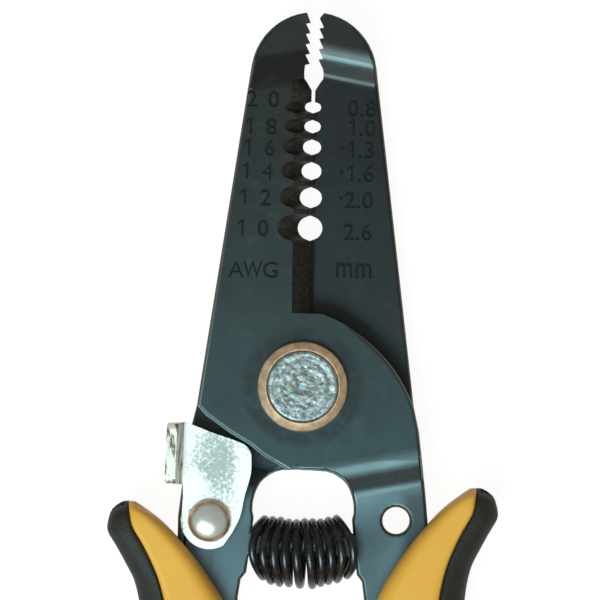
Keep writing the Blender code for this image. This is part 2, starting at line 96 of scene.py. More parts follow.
# Pivot
RIVET_RADIUS = 3.98
RIVET_HEAD = 1.45
COLLAR_HEIGHT = 1.3
COLLAR_BORE = 4.0

# Grips
GRIP_WIDTH = 10.9
GRIP_COVER = 3.0
GRIP_TIP = -11.3
GRIP_THROAT = -30.0
GRIP_LENGTH = 92.5
GRIP_SEAM = 0.05
LEFT_GRIP_DROP = 1.4
GRIP_LINE = [(0.0, 12.35), (0.15, 13.5), (0.32, 16.1), (0.49, 18.2), (0.65, 18.75),
             (0.84, 17.7), (1.0, 16.1)]
GRIP_MOUTH = [(18.66, -11.36), (17.63, -12.04), (15.8, -13.42), (13.96, -15.27),
              (12.11, -17.39), (10.27, -19.97), (8.9, -22.2), (7.9, -24.6), (7.15, -27.2),
              (6.9, -30.0)]
GRIP_PARTING = [(19.3, -11.32), (19.2, -12.5), (18.83, -14.16), (17.82, -15.91),
                (16.71, -18.12), (15.8, -20.52), (15.1, -23.66), (14.85, -27.0),
                (14.8, -30.0)]
GRIP_BACK = [(19.94, -11.36), (20.68, -11.77), (21.32, -12.5), (21.69, -14.07),
             (21.51, -14.9), (20.68, -16.28), (19.67, -18.12), (18.74, -19.97),
             (18.19, -22.18), (17.9, -25.0), (17.8, -30.0)]

# Spring
SPRING_AXIS = -17.75
SPRING_WIRE = 0.92
SPRING_TURNS = 10
SPRING_REACH = 6.6              # from the middle coil to an end coil's widest point
SPRING_RADIUS = 3.12
SPRING_SWELL = 0.34
SPRING_SAG = 0.85

# Latch
LATCH_PIVOT = (-10.37, -14.9)
LATCH_SHEET = 1.2
LATCH_SINK = 0.22               # how far the plate lies below its plain one
LATCH_BEND = 78.0               # degrees from the plate to its tab
LATCH_RIM = 0.32
TAB_REACH = 2.3
TAB_CORNER = 0.75
DOME_RADIUS = 2.4
DOME_HEIGHT = 1.45


# Materials ----------------------------------------------------------------------------

class Shade:
    """A shader socket that can be added, multiplied and so on."""

    def __init__(self, finish, socket):
        self.finish = finish
        self.socket = socket

    def maths(self, operation, first, second):
        return self.finish.node("Math", {"operation": operation}, {0: first, 1: second})

    def __add__(self, other):
        return self.maths("ADD", self, other)

    __radd__ = __add__

    def __sub__(self, other):
        return self.maths("SUBTRACT", self, other)

    def __rsub__(self, other):
        return self.maths("SUBTRACT", other, self)

    def __mul__(self, other):
        return self.maths("MULTIPLY", self, other)

    __rmul__ = __mul__

    def __truediv__(self, other):
        return self.maths("DIVIDE", self, other)

    def __pow__(self, other):
        return self.maths("POWER", self, other)


class Finish:
    """A material made of one Principled shader and the nodes that feed it."""

    def __init__(self, name, **constants):
        self.material = bpy.data.materials.new(name)
        self.material.use_nodes = True
        self.tree = self.material.node_tree
        self.shader = self.tree.nodes["Principled BSDF"]
        for socket, value in constants.items():
            self.shader.inputs[socket.replace("_", " ")].default_value = value
        self.place = self.node("TexCoord", out="Object")

    def node(self, kind, settings=None, sockets=None, out=0):
        made = self.tree.nodes.new("ShaderNode" + kind)
        for key, value in (settings or {}).items():
            if key == "stops":
                self.set_stops(made.color_ramp, value)
            else:
                setattr(made, key, value)
        for key, value in (sockets or {}).items():
            self.put(made.inputs[key], value)
        return Shade(self, made.outputs[out])

    @staticmethod
    def set_stops(ramp, stops):
        while len(ramp.elements) < len(stops):
            ramp.elements.new(0.5)
        for element, (position, colour) in zip(ramp.elements, stops):
            element.position = position
            element.color = colour if len(colour) == 4 else (*colour, 1.0)

    def put(self, socket, value):
        if isinstance(value, Shade):
            self.tree.links.new(value.socket, socket)
        else:
            socket.default_value = value

    def feed(self, name, value):
        self.put(self.shader.inputs[name], value)

    def mix(self, factor, first, second):
        """Blends two colours."""
        colours = [(*c, 1.0) if isinstance(c, tuple) else c for c in (first, second)]
        return self.node("Mix", {"data_type": "RGBA"},
                         {0: factor, 6: colours[0], 7: colours[1]}, out=2)

    def grain(self, size, detail=3.0, roughness=0.5, stretch=None):
        """Noise whose features are about `size` millimetres across, from 0 to 1."""
        place = self.place
        if stretch is not None:
            place = self.node("Mapping", None, {"Vector": place, "Scale": stretch})
        return self.node("TexNoise", None, {"Vector": place, "Scale": 1 / (size * MM),
                                            "Detail": detail, "Roughness": roughness})

    def step(self, value, low, high):
        """Rises smoothly from 0 at `low` to 1 at `high`."""
        return self.node("MapRange", {"interpolation_type": "SMOOTHSTEP"},
                         {"Value": value, "From Min": low, "From Max": high})

    def bump(self, height, depth, strength=1.0, under=None):
        """A bump of `depth` millimetres."""
        sockets = {"Height": height, "Distance": depth * MM, "Strength": strength}
        if under is not None:
            sockets["Normal"] = under
        return self.node("Bump", None, sockets)

    def axes(self):
        """The three coordinates, in millimetres."""
        scaled = self.node("VectorMath", {"operation": "SCALE"}, {0: self.place, 3: 1 / MM})
        split = self.tree.nodes.new("ShaderNodeSeparateXYZ")
        self.put(split.inputs[0], scaled)
        return [Shade(self, split.outputs[i]) for i in range(3)]

    def facing(self):
        """The surface's direction: towards +Y, and how level it is whichever way it faces."""
        split = self.tree.nodes.new("ShaderNodeSeparateXYZ")
        self.put(split.inputs[0], self.node("NewGeometry", out="Normal"))
        level = self.node("Math", {"operation": "ABSOLUTE"}, {0: Shade(self, split.outputs[2])})
        return Shade(self, split.outputs[1]), level

    def round_centre(self, centre=(0.0, 0.0)):
        """Distance from an upright axis, in millimetres, and the turn about it, 0 to 1."""
        x, y, _ = self.axes()
        x = x - centre[0]
        y = y - centre[1]
        distance = (x * x + y * y) ** 0.5
        turn = self.node("Math", {"operation": "ARCTAN2"}, {0: y, 1: x}) / math.tau + 0.5
        return distance, turn


def black_oxide():
    """Blued stamped steel, brown where it was ground; painted sheen makes it lighter and bluer
    towards the handles, with painted highlights and shade at the bends.
    """
    steel = Finish("black_oxide", Specular_IOR_Level=0.6)
    x, y, z = steel.axes()
    cloud = steel.grain(9.0, 3.0)
    speck = steel.grain(0.22, 2.0, 0.6)
    patch = steel.grain(1.6, 4.0, 0.6)
    # Painted sheen: the face colour grows lighter and bluer from the nose towards the handles,
    # with a painted highlight band just below the arm's bend.
    down = steel.node("MapRange", None, {"Value": y, "From Min": 40.0, "From Max": -22.0})
    face = steel.node("ValToRGB", {"stops": [
        (0.0, (0.011, 0.011, 0.009)), (0.2, (0.0075, 0.0085, 0.0075)),
        (0.6, (0.016, 0.031, 0.031)), (0.78, (0.021, 0.045, 0.047)),
        (0.82, (0.03, 0.06, 0.065)), (0.85, (0.085, 0.155, 0.175)),
        (0.91, (0.055, 0.1, 0.11)), (1.0, (0.075, 0.135, 0.15))]}, {0: down})
    forward, level = steel.facing()
    # Painted shade on the steep slope of the arm's bend, which also gets a lower roughness and
    # more metallic.
    slope = (1 - steel.step(level, 0.9, 0.945)) * (1 - steel.step(y, -8.0, -4.0))
    face = steel.mix(slope * 0.9, face, (0.032, 0.026, 0.02))
    # Painted highlight on the gently tilted, rounded parts of the bends that face -Y; on the nose
    # it sits a little further down the slope.
    nose = steel.step(y, 31.0, 31.5)
    tilt = level + nose * 0.06
    bends = (1 - steel.step(y, -8.4, -8.0) * (1 - nose)) * steel.step(0 - forward, 0.1, 0.2)
    roll_highlight = steel.step(tilt, 0.93, 0.965) * (1 - steel.step(tilt, 0.98, 0.999)) * bends
    face = steel.mix(roll_highlight * 0.75, face, (0.12, 0.18, 0.19))
    # Painted shade: the arm's outer part, beyond about x 10 to 12 mm and below y -11, is kept
    # darker than the painted sheen.
    outer = steel.step(x, 10.3, 12.0) * (1 - steel.step(y, -12.5, -11.0))
    face = steel.mix(outer * 0.85, face, (0.024, 0.04, 0.043))
    face = steel.mix(steel.step(cloud, 0.4, 0.7) * 0.4, face, (0.007, 0.009, 0.009))
    face = steel.mix(steel.step(patch, 0.55, 0.75) * 0.25, face, (0.04, 0.05, 0.05))
    face = steel.mix(steel.step(speck, 0.68, 0.78) * 0.25, face, (0.07, 0.075, 0.07))
    # Painted shade on the rear lever's faces below the front lever's level, stronger towards the
    # nose.
    under = 0.6 + steel.step(y, 16.0, 28.0) * 0.3
    face = steel.mix((1 - steel.step(z, 5.75, 5.95)) * under, face, (0.003, 0.004, 0.004))
    # Darker in patches in a ring round the collar.
    distance, _ = steel.round_centre()
    ring = steel.step(distance, 4.9, 5.3) * (1 - steel.step(distance, 6.0, 7.2))
    face = steel.mix(ring * steel.step(patch, 0.3, 0.6) * 0.7, face, (0.004, 0.005, 0.005))
    streak = steel.grain(0.4, 3.0, 0.6, (0.2, 1.0, 1.0))
    ground = steel.mix(steel.step(streak, 0.4, 0.7), (0.003, 0.0025, 0.0015),
                       (0.036, 0.023, 0.009))
    # Eased edges and sides are brown; those facing -Y along the lower-left diagonal get a painted
    # highlight instead.
    edge_highlight_zone = steel.step(y, -11.5, -10.0) * (1 - steel.step(y, -2.0, 0.0))
    rim = steel.mix(edge_highlight_zone * (1 - steel.step(forward, -0.3, 0.1)), (0.07, 0.05, 0.032),
                    (0.13, 0.19, 0.2))
    side = steel.step(level, 0.72, 0.82)
    blade = steel.step(y, 6.5, 7.0) * (1 - steel.step(x * x, 18.0, 20.0))
    steel.feed("Base Color", steel.mix(side, steel.mix(blade, rim, ground), face))
    steel.feed("Roughness", 0.31 + patch * 0.13 + (1 - side) * 0.2 - slope * 0.1)
    steel.feed("Metallic", 0.2 + slope * side * 0.4)
    steel.feed("Normal", steel.bump(speck + patch * 0.8, 0.014, 0.6))
    return steel.material


def mark_black():
    """The bottom of the stamped marks, made dark as painted shade in the recesses."""
    recess_shade = Finish("mark_black", Metallic=0.9, Specular_IOR_Level=0.4)
    patch = recess_shade.grain(0.3)
    # Painted shade: a dark colour and a high metallic setting stand in for the shade in the
    # stamped recesses.
    recess_shade.feed("Base Color", recess_shade.mix(patch, (0.012, 0.014, 0.014), (0.026, 0.029, 0.028)))
    recess_shade.feed("Roughness", 0.4 + patch * 0.2)
    return recess_shade.material


def copper():
    """Copper plate, dulled in patches."""
    plate = Finish("copper", Metallic=0.6)
    patch = plate.grain(0.9, 4.0, 0.6)
    fine = plate.grain(0.12, 2.0)
    colour = plate.mix(plate.step(patch, 0.35, 0.7), (0.48, 0.29, 0.17), (0.74, 0.49, 0.3))
    plate.feed("Base Color", plate.mix(fine * 0.25, colour, (0.4, 0.27, 0.18)))
    plate.feed("Roughness", 0.34 + patch * 0.2)
    plate.feed("Normal", plate.bump(fine + patch, 0.01, 0.6))
    return plate.material


def peened_steel():
    """Hammered rivet end: bright, grainy, with dark pits in rings."""
    steel = Finish("peened_steel", Metallic=0.6)
    distance, turn = steel.round_centre()
    patch = steel.grain(0.55, 4.0, 0.7)
    pits = steel.grain(0.28, 3.0, 0.7)
    wobble = steel.node("Math", {"operation": "SINE"}, {0: distance * 8.0 + patch * 7.0})
    dark = steel.step(pits + wobble * 0.09, 0.52, 0.66) * (1 - steel.step(distance, 3.0, 3.4))
    colour = steel.mix(steel.step(patch, 0.35, 0.65), (0.17, 0.18, 0.16), (0.42, 0.46, 0.45))
    colour = steel.mix(dark * 0.75, colour, (0.1, 0.1, 0.09))
    warm = (1 - steel.step(distance, 0.9, 1.9)) * steel.step(patch, 0.42, 0.55)
    colour = steel.mix(warm * 0.7, colour, (0.16, 0.14, 0.11))
    colour = steel.mix(1 - steel.step(distance, 0.25, 0.6), colour, (0.3, 0.4, 0.46))
    steel.feed("Base Color", colour)
    steel.feed("Roughness", 0.3 + pits * 0.3)
    steel.feed("Normal", steel.bump(pits + patch, 0.06, 0.8))
    return steel.material


def dome_steel():
    """Bright formed rivet head with a warm tint."""
    steel = Finish("dome_steel", Metallic=0.8)
    patch = steel.grain(1.1, 2.0)
    distance, _ = steel.round_centre(LATCH_PIVOT)
    colour = steel.mix(patch, (0.7, 0.67, 0.58), (0.85, 0.84, 0.78))
    tan = steel.step(distance + patch * 0.5, 1.9, 2.4)
    steel.feed("Base Color", steel.mix(tan, colour, (0.5, 0.33, 0.22)))
    steel.feed("Roughness", 0.2 + patch * 0.1)
    steel.feed("Normal", steel.bump(steel.grain(0.3), 0.006, 0.4))
    return steel.material


def zinc():
    """Bright zinc plate with a mottled, bluish bloom, and sheared edges darkened with painted
    shade, brownish in patches.
    """
    plate = Finish("zinc", Metallic=0.35, Specular_IOR_Level=0.6)
    x, y, _ = plate.axes()
    bloom = plate.grain(4.0, 2.0)
    mottle = plate.grain(0.34, 6.0, 0.8)
    across, along = x + 9.5 + y * 0.25 + 2.1, y + 8.3
    middle = 1 - plate.step(across * across + along * along * 0.45, 1.0, 10.0)
    amount = plate.step(mottle + bloom * 0.35 + middle * 0.2, 0.7, 0.86)
    colour = plate.mix(amount * 0.85, (0.86, 0.83, 0.79), (0.25, 0.3, 0.28))
    _, level = plate.facing()
    # Painted shade along the plate's edges and sides, brownish in patches; on the bent tab its
    # own streaks take over.
    rim = plate.mix(plate.step(mottle, 0.45, 0.6), (0.06, 0.05, 0.045), (0.3, 0.24, 0.18))
    streak = plate.grain(0.7, 4.0, 0.7, (1.0, 0.3, 1.0))
    tab = plate.mix(plate.step(streak, 0.48, 0.6), (0.7, 0.67, 0.56), (0.12, 0.08, 0.045))
    bent = plate.step(-13.1 - x, 0.0, 0.4)
    rim = plate.mix(bent, rim, tab)
    colour = plate.mix(bent, colour, tab)
    plate.feed("Base Color", plate.mix(plate.step(level, 0.85, 0.99), rim, colour))
    plate.feed("Roughness", 0.3 + mottle * 0.2)
    plate.feed("Normal", plate.bump(mottle, 0.014, 0.5))
    return plate.material


def spring_black():
    """Oiled black spring wire with brown drawing marks."""
    wire = Finish("spring_black", Metallic=0.3, Specular_IOR_Level=0.8)
    patch = wire.grain(0.7, 3.0)
    wire.feed("Base Color", wire.mix(wire.step(patch, 0.4, 0.7), (0.004, 0.0045, 0.0045),
                                     (0.018, 0.014, 0.011)))
    wire.feed("Roughness", 0.2 + patch * 0.16)
    wire.feed("Normal", wire.bump(wire.grain(0.15), 0.008, 0.5))
    return wire.material


def yellow_plastic():
    """Hard moulded plastic with a faint orange-peel surface."""
    plastic = Finish("yellow_plastic", Specular_IOR_Level=0.35)
    cloud = plastic.grain(12.0, 2.0)
    peel = plastic.grain(0.35, 2.0)
    scuff = plastic.grain(0.8, 5.0, 0.75, (1.0, 0.25, 1.0))
    colour = plastic.mix(cloud, (0.55, 0.255, 0.028), (0.63, 0.31, 0.044))
    colour = plastic.mix(plastic.step(scuff, 0.66, 0.78) * 0.25, colour, (0.5, 0.27, 0.06))
    plastic.feed("Base Color", colour)
    plastic.feed("Roughness", 0.4 + scuff * 0.14)
    plastic.feed("Normal", plastic.bump(peel, 0.01, 0.5))
    return plastic.material


def soft_black():
    """Soft grip rubber with a fine leathery grain."""
    rubber = Finish("soft_black", Specular_IOR_Level=0.35)
    grain = rubber.node("TexVoronoi", {"feature": "DISTANCE_TO_EDGE"},
                        {"Vector": rubber.place, "Scale": 1 / (0.55 * MM)})
    cloud = rubber.grain(4.0)
    rubber.feed("Base Color", rubber.mix(cloud, (0.0075, 0.006, 0.004), (0.018, 0.014, 0.009)))
    rubber.feed("Roughness", 0.52 + cloud * 0.16)
    rubber.feed("Normal", rubber.bump(rubber.step(grain, 0.0, 0.3), 0.03, 0.5))
    return rubber.material


def bench():
    """The pale bench, lit from below so that it shows white through the notches."""
    pale = Finish("bench", Roughness=0.9)
    pale.feed("Base Color", (0.1, 0.1, 0.1, 1.0))
    pale.feed("Emission Color", (1.0, 1.0, 0.985, 1.0))
    pale.shader.inputs["Emission Strength"].default_value = 0.93
    return pale.material


# Points -------------------------------------------------------------------------------

def from_head(across, along):
    x = (across + HEAD_OFFSET) * math.cos(LEAN) + along * math.sin(LEAN)
    y = -(across + HEAD_OFFSET) * math.sin(LEAN) + along * math.cos(LEAN)
    return x, y


def to_head(x, y):
    across = x * math.cos(LEAN) - y * math.sin(LEAN) - HEAD_OFFSET
    along = x * math.sin(LEAN) + y * math.cos(LEAN)
    return across, along


def curve_through(points, steps):
    """A smooth curve through the points, with the given number of steps in each span."""
    ends = [points[0]] + list(points) + [points[-1]]
    curve = [points[0]]
    for before, start, end, after in zip(ends, ends[1:], ends[2:], ends[3:]):
        for i in range(1, steps + 1):
            t = i / steps
            curve.append(tuple(
                0.5 * (2 * q + (r - p) * t + (2 * p - 5 * q + 4 * r - s) * t ** 2
                       + (3 * q - p - 3 * r + s) * t ** 3)
                for p, q, r, s in zip(before, start, end, after)))
    return curve


def evenly(points, count):
    """`count` + 1 points at equal distances along a smooth curve through the points."""
    curve = [Vector(p) for p in curve_through(points, 12)]
    lengths = [0.0]
    for a, b in zip(curve, curve[1:]):
        lengths.append(lengths[-1] + (b - a).length)
    spread, k = [], 0
    for i in range(count + 1):
        target = lengths[-1] * i / count
        while k < len(curve) - 2 and lengths[k + 1] < target:
            k += 1
        share = (target - lengths[k]) / (lengths[k + 1] - lengths[k])
        spread.append(curve[k].lerp(curve[k + 1], min(share, 1.0)))
    return spread


# Meshes -------------------------------------------------------------------------------

def finish_piece(name, bm, body, slot, replaced, *finishes, sharp=32.0):
    """Turns a bmesh in millimetres into a piece that rides on a body."""
    bmesh.ops.transform(bm, matrix=Matrix.Scale(MM, 4), verts=bm.verts)
    mesh = bpy.data.meshes.new(name)
    bm.to_mesh(mesh)
    bm.free()
    mesh.shade_smooth()
    mesh.set_sharp_from_angle(angle=math.radians(sharp))
    piece = bpy.data.objects.new(name, mesh)
    bpy.context.scene.collection.objects.link(piece)
    for finish in finishes:
        mesh.materials.append(finish)
    if body:
        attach(piece, body)
    if replaced:
        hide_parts(replaced)
    return piece


def settle(piece, sharp=32.0):
    """Applies a piece's modifiers to its mesh."""
    shape = piece.evaluated_get(bpy.context.evaluated_depsgraph_get())
    made = bpy.data.meshes.new_from_object(shape)
    piece.modifiers.clear()
    piece.data = made
    made.set_sharp_from_angle(angle=math.radians(sharp))


def weigh_normals(piece):
    """Keeps large flat faces flat where they meet small rounded edges."""
    weights = piece.modifiers.new("Normals", "WEIGHTED_NORMAL")
    weights.keep_sharp = True
    weights.weight = 100


def turned(profile, centre=(0.0, 0.0), steps=96):
    """A solid of revolution about an upright axis, from a profile of (radius, height)."""
    bm = bmesh.new()
    verts = [bm.verts.new((r, 0.0, z)) for r, z in profile]
    edges = [bm.edges.new(pair) for pair in zip(verts, verts[1:])]
    if profile[0][0] > 0:
        edges.append(bm.edges.new((verts[-1], verts[0])))
    bmesh.ops.spin(bm, geom=verts + edges, axis=(0, 0, 1), cent=(0, 0, 0), steps=steps,
                   angle=math.tau, use_merge=True)
    bmesh.ops.remove_doubles(bm, verts=bm.verts, dist=0.0005)
    bmesh.ops.recalc_face_normals(bm, faces=bm.faces)
    bmesh.ops.translate(bm, verts=bm.verts, vec=(centre[0], centre[1], 0))
    return bm


def sleeve(sections):
    """A closed skin over a row of sections, each a ring of the same number of points."""
    around, along = len(sections[0]), len(sections) - 1
    bm = bmesh.new()
    bmesh.ops.create_grid(bm, x_segments=around, y_segments=along, size=1.0)
    for vert in bm.verts:
        i = round((vert.co.x + 1) / 2 * around) % around
        j = round((vert.co.y + 1) / 2 * along)
        vert.co = sections[j][i]
    bmesh.ops.remove_doubles(bm, verts=bm.verts, dist=0.0005)
    rims = [edge for edge in bm.edges if edge.is_boundary]
    bmesh.ops.holes_fill(bm, edges=rims, sides=0)
    bmesh.ops.recalc_face_normals(bm, faces=bm.faces)
    return bm


# Levers -------------------------------------------------------------------------------

def nose_station(side, x, y):
    across, along = to_head(x, y)
    return along + NOSE_BEND_SLOPE * side * across


def arm_station(side, x, y):
    if side == REAR:
        across, along = to_head(x, y)
        x, y = from_head(-across, along)
    return -y + ARM_BEND_SLOPE * x


def sharp_ramp(station, start, length):
    return min(max((station - start) / length, 0.0), 1.0)


def soft_ramp(side, station, start, length, rest):
    """The same ramp with its two corners rounded, and with a share that tails off."""
    def corner(d, half):
        if d < -half:
            return 0.0
        return d if d > half else (d + half) ** 2 / (4 * half)
    first, last = (CONVEX, CONCAVE) if side == FRONT else (CONCAVE, CONVEX)
    beyond = station - start - length
    ramp = (corner(station - start, first) - corner(beyond, last)) / length
    return (1 - rest) * ramp + rest * (1 - math.exp(-max(beyond, 0.0) / ARM_REST_LENGTH))


def split_at(bm, station, side, value):
    here = station(side, 0.0, 0.0)
    slope = Vector((station(side, 1.0, 0.0) - here, station(side, 0.0, 1.0) - here, 0.0))
    point = slope * (value - here) / slope.length_squared
    bmesh.ops.bisect_plane(bm, geom=bm.verts[:] + bm.edges[:] + bm.faces[:], dist=0.0005,
                           plane_co=point, plane_no=slope.normalized())


def bends_of(side):
    """A lever's two bends: where each is measured, its start, length and tailing share."""
    return ((nose_station, NOSE_BEND, NOSE_BEND_LENGTH, 0.0),
            (arm_station, ARM_BEND, ARM_BEND_LENGTH, ARM_REST if side == FRONT else 0.0))


def round_bends(bm, side):
    """Turns a lever's two sharp bends into rounded ones."""
    steps = [i / 4 - 1 for i in range(9)]
    for station, start, length, rest in bends_of(side):
        lines = [start + CONVEX * i for i in steps] + [start + length + CONVEX * i for i in steps]
        if rest:
            lines += [start + length + 0.5 * i for i in range(1, 13)]
        for line in lines:
            split_at(bm, station, side, line)
    for vert in bm.verts:
        for station, start, length, rest in bends_of(side):
            here = station(side, vert.co.x, vert.co.y)
            change = soft_ramp(side, here, start, length, rest)
            vert.co.z += side * JOGGLE * (change - sharp_ramp(here, start, length))


def face_direction(side, x, y):
    """Which way a lever's upper face looks at a point: straight up, or leaning in a bend."""
    look = Vector((0.0, 0.0, 1.0))
    for station, start, length, rest in bends_of(side):
        here = station(side, x, y)
        before, after = (soft_ramp(side, here + d, start, length, rest) for d in (-0.01, 0.01))
        climb = side * JOGGLE * (after - before) / 0.02
        look.x -= climb * (station(side, x + 1, y) - here)
        look.y -= climb * (station(side, x, y + 1) - here)
    return look.normalized()


def hold_normals(piece, side):
    """Shades a lever's faces by its own bends, so that cuts and eased edges leave no mark."""
    mesh = piece.data
    ups = {}
    for face in mesh.polygons:
        look = face_direction(side, face.center.x / MM, face.center.y / MM)
        if abs(face.normal.dot(look)) > SAME_WAY:
            ups.update({vert: math.copysign(1.0, face.normal.z) for vert in face.vertices})
    looks = {vert: up * face_direction(side, *(mesh.vertices[vert].co.xy / MM))
             for vert, up in ups.items()}
    normals = [corner.vector.copy() for corner in mesh.corner_normals]
    for face in mesh.polygons:
        for corner in face.loop_indices:
            look = looks.get(mesh.loops[corner].vertex_index)
            if look and face.normal.dot(look) > ALMOST_LEVEL:
                normals[corner] = look
    mesh.normals_split_custom_set(normals)


def soften_outline(bm, side):
    """Takes the sharp edge off a lever's outline, away from its blade, teeth and nick."""
    across, along = to_head(*NICK)
    nick = Vector(from_head(-side * across, along))

    def plain(vert):
        across, along = to_head(vert.co.x, vert.co.y)
        off_blade = along < BLADE_START or abs(across) > BLADE_REACH
        return off_blade and (vert.co.xy - nick).length > 0.3

    def upright(face):
        return abs(face.normal.z) < 0.2

    rims = [edge for edge in bm.edges
            if len(edge.link_faces) == 2
            and upright(edge.link_faces[0]) != upright(edge.link_faces[1])
            and all(plain(vert) for vert in edge.verts)
            and edge.calc_length() > 0.05]
    bmesh.ops.bevel(bm, geom=rims, offset=LEVER_RIM, segments=3, profile=0.5, affect="EDGES",
                    clamp_overlap=False, material=-1)


def typed(text, height):
    """One character of the built-in typeface, as a solid standing on y = 0."""
    data = bpy.data.curves.new("mark", "FONT")
    data.body = text
    data.align_x = "CENTER"
    data.size = height / 0.72
    data.extrude = MARK_DEPTH
    data.offset = 0.0 if text in THIN_MARKS else MARK_STROKE
    data.resolution_u = 3
    obj = bpy.data.objects.new("mark", data)
    bpy.context.scene.collection.objects.link(obj)
    mesh = bpy.data.meshes.new_from_object(
        obj.evaluated_get(bpy.context.evaluated_depsgraph_get()))
    bpy.data.objects.remove(obj)
    return mesh


def figure_one(height):
    """A one with a short flag, which the built-in typeface lacks."""
    stroke = 0.13 * height
    outline = [(0, 0), (stroke, 0), (stroke, height), (0.15 * stroke, height),
               (-1.6 * stroke, 0.78 * height), (-1.6 * stroke, 0.66 * height),
               (0, 0.8 * height)]
    bm = bmesh.new()
    face = bm.faces.new([bm.verts.new((x, y, -MARK_DEPTH)) for x, y in outline])
    made = bmesh.ops.extrude_face_region(bm, geom=[face])["geom"]
    bmesh.ops.translate(bm, verts=[v for v in made if isinstance(v, bmesh.types.BMVert)],
                        vec=(0, 0, 2 * MARK_DEPTH))
    bmesh.ops.recalc_face_normals(bm, faces=bm.faces)
    mesh = bpy.data.meshes.new("one")
    bm.to_mesh(mesh)
    bm.free()
    return mesh


def letter(text, centre, height, level):
    """One raised character, ready to be cut in, centred on a point of the tool's frame."""
    mesh = figure_one(height) if text == "1" else typed(text, height)
    wide, tall = {"m": (0.95, 1.25), "W": (0.78, 1.0)}.get(text, (1.0, 1.0))
    mesh.transform(Matrix.Diagonal((wide, tall, 1.0, 1.0)))
    mesh.transform(Matrix.Translation((0, -height / 2, 0)))
    mesh.transform(Matrix.Rotation(-LEAN, 4, "Z"))
    mesh.transform(Matrix.Translation((centre[0], centre[1], level)))
    return mesh


def stamp(piece, marks, level):
    """Cuts marks, each a text, a point of the head's frame and a height, into a face."""
    bm = bmesh.new()
    for text, across, along, height in marks:
        bm.from_mesh(letter(text, from_head(across, along), height, level))
    bmesh.ops.remove_doubles(bm, verts=bm.verts, dist=0.0001)
    bmesh.ops.recalc_face_normals(bm, faces=bm.faces)
    cutter = finish_piece("stamp", bm, None, None, None, MATERIALS["mark_black"])
    cut = piece.modifiers.new("Marks", "BOOLEAN")
    cut.operation = "DIFFERENCE"
    cut.solver = "EXACT"
    cut.object = cutter
    cut.material_mode = "TRANSFER"
    settle(piece)
    bpy.data.objects.remove(cutter)


def gauge_marks():
    """The wire gauges beside the notches: wire number on the left, width on the right."""
    rows = [(17.55, "10", 17.4, "2.6"), (20.95, "12", 20.95, "2.0"),
            (23.85, "14", 23.9, "1.6"), (26.5, "16", 26.55, "1.3"),
            (28.85, "18", 29.0, "1.0"), (31.9, "20", 31.15, "0.8")]
    left, right = [], []
    for along, number, low, width in rows:
        slant = (along - rows[0][0]) * 0.058
        left += [(number[0], -7.6 + slant, along, MARK_HEIGHT),
                 (number[1], -5.2 + slant, along, MARK_HEIGHT)]
        slant = (low - rows[0][2]) * 0.012
        right += [(width[0], 4.33 + slant, low, MARK_HEIGHT),
                  (width[1], 5.3 + slant, low, MARK_HEIGHT),
                  (width[2], 6.3 + slant, low, MARK_HEIGHT)]
        if width in ("1.3", "1.6", "2.0"):
            right.append((".", 3.3 + slant, low + MARK_HEIGHT / 2, MARK_HEIGHT))
    left += [("A", -8.08, 12.9, MARK_HEIGHT), ("W", -6.25, 12.95, MARK_HEIGHT),
             ("G", -4.27, 12.95, MARK_HEIGHT)]
    right += [("m", 3.93, 13.3, MARK_HEIGHT * 1.1), ("m", 6.08, 13.25, MARK_HEIGHT * 1.1)]
    return left, right


def lever(name, side, marks, level):
    """A lever with rounded bends, eased outline and stamped marks."""
    bm = bmesh.new()
    bm.from_mesh(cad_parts[name].data)
    bmesh.ops.transform(bm, matrix=Matrix.Scale(1 / MM, 4), verts=bm.verts)
    bmesh.ops.remove_doubles(bm, verts=bm.verts, dist=0.002)
    bmesh.ops.dissolve_limit(bm, angle_limit=math.radians(1.0), verts=bm.verts,
                             edges=bm.edges)
    soften_outline(bm, side)
    round_bends(bm, side)
    piece = finish_piece(name + "_plate", bm, name, "black_oxide", name,
                         MATERIALS["black_oxide"])
    stamp(piece, marks, level)
    hold_normals(piece, side)
    return piece


# Pivot, latch, spring -----------------------------------------------------------------

def pivot_rivet():
    """The pivot rivet: a hammered front end, a shank, and a low head at the back."""
    low, high = (corner.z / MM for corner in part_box("pivot_rivet"))
    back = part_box("pivot_rivet")[1].x / MM
    radius = RIVET_RADIUS
    top = [(radius * i / 44, high) for i in range(41)]
    top += [(radius - 0.2, high - 0.05), (radius - 0.04, high - 0.22)]
    profile = top + [(radius, high - 0.5), (radius, RIVET_HEAD), (back, RIVET_HEAD),
                     (back, 0.5), (back - 0.12, 0.2), (back - 0.45, low), (0.0, low)]
    bm = turned(profile)
    for vert in bm.verts:
        x, y, z = vert.co
        distance = math.hypot(x, y)
        if z > high - 0.3 and distance < radius:
            calm = min(1.0, (radius - distance) / 0.5)
            rough = noise.fractal(Vector((x * 1.6, y * 1.6, 3.1)), 1.0, 2.0, 4)
            ring = math.cos(distance * 5.2 + 1.5 * rough)
            vert.co.z += calm * (0.07 * rough + 0.03 * ring - 0.06)
            vert.co.z -= 0.12 * math.exp(-(distance / 0.45) ** 2)
    return finish_piece("pivot_rivet_peened", bm, "front_lever", "rivet_steel", "pivot_rivet",
                        MATERIALS["peened_steel"], sharp=50.0)


def collar(node, face, out):
    """A copper ring with a sloping face, seated on a lever."""
    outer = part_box(node)[1].x / MM
    height = COLLAR_HEIGHT if out > 0 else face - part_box(node)[0].z / MM
    low = face + out * 0.01
    ring = [(outer - 0.06, 0.0), (outer, 0.08), (outer, height * 0.42),
            (outer - 0.1, height * 0.58), (outer - 0.72, height * 0.96),
            (outer - 0.82, height), (COLLAR_BORE + 0.06, height),
            (COLLAR_BORE, height - 0.08), (COLLAR_BORE, 0.0)]
    bm = turned([(r, low + out * z) for r, z in ring])
    return finish_piece(node + "_ring", bm, "front_lever", "copper", node,
                        MATERIALS["copper"], sharp=25.0)


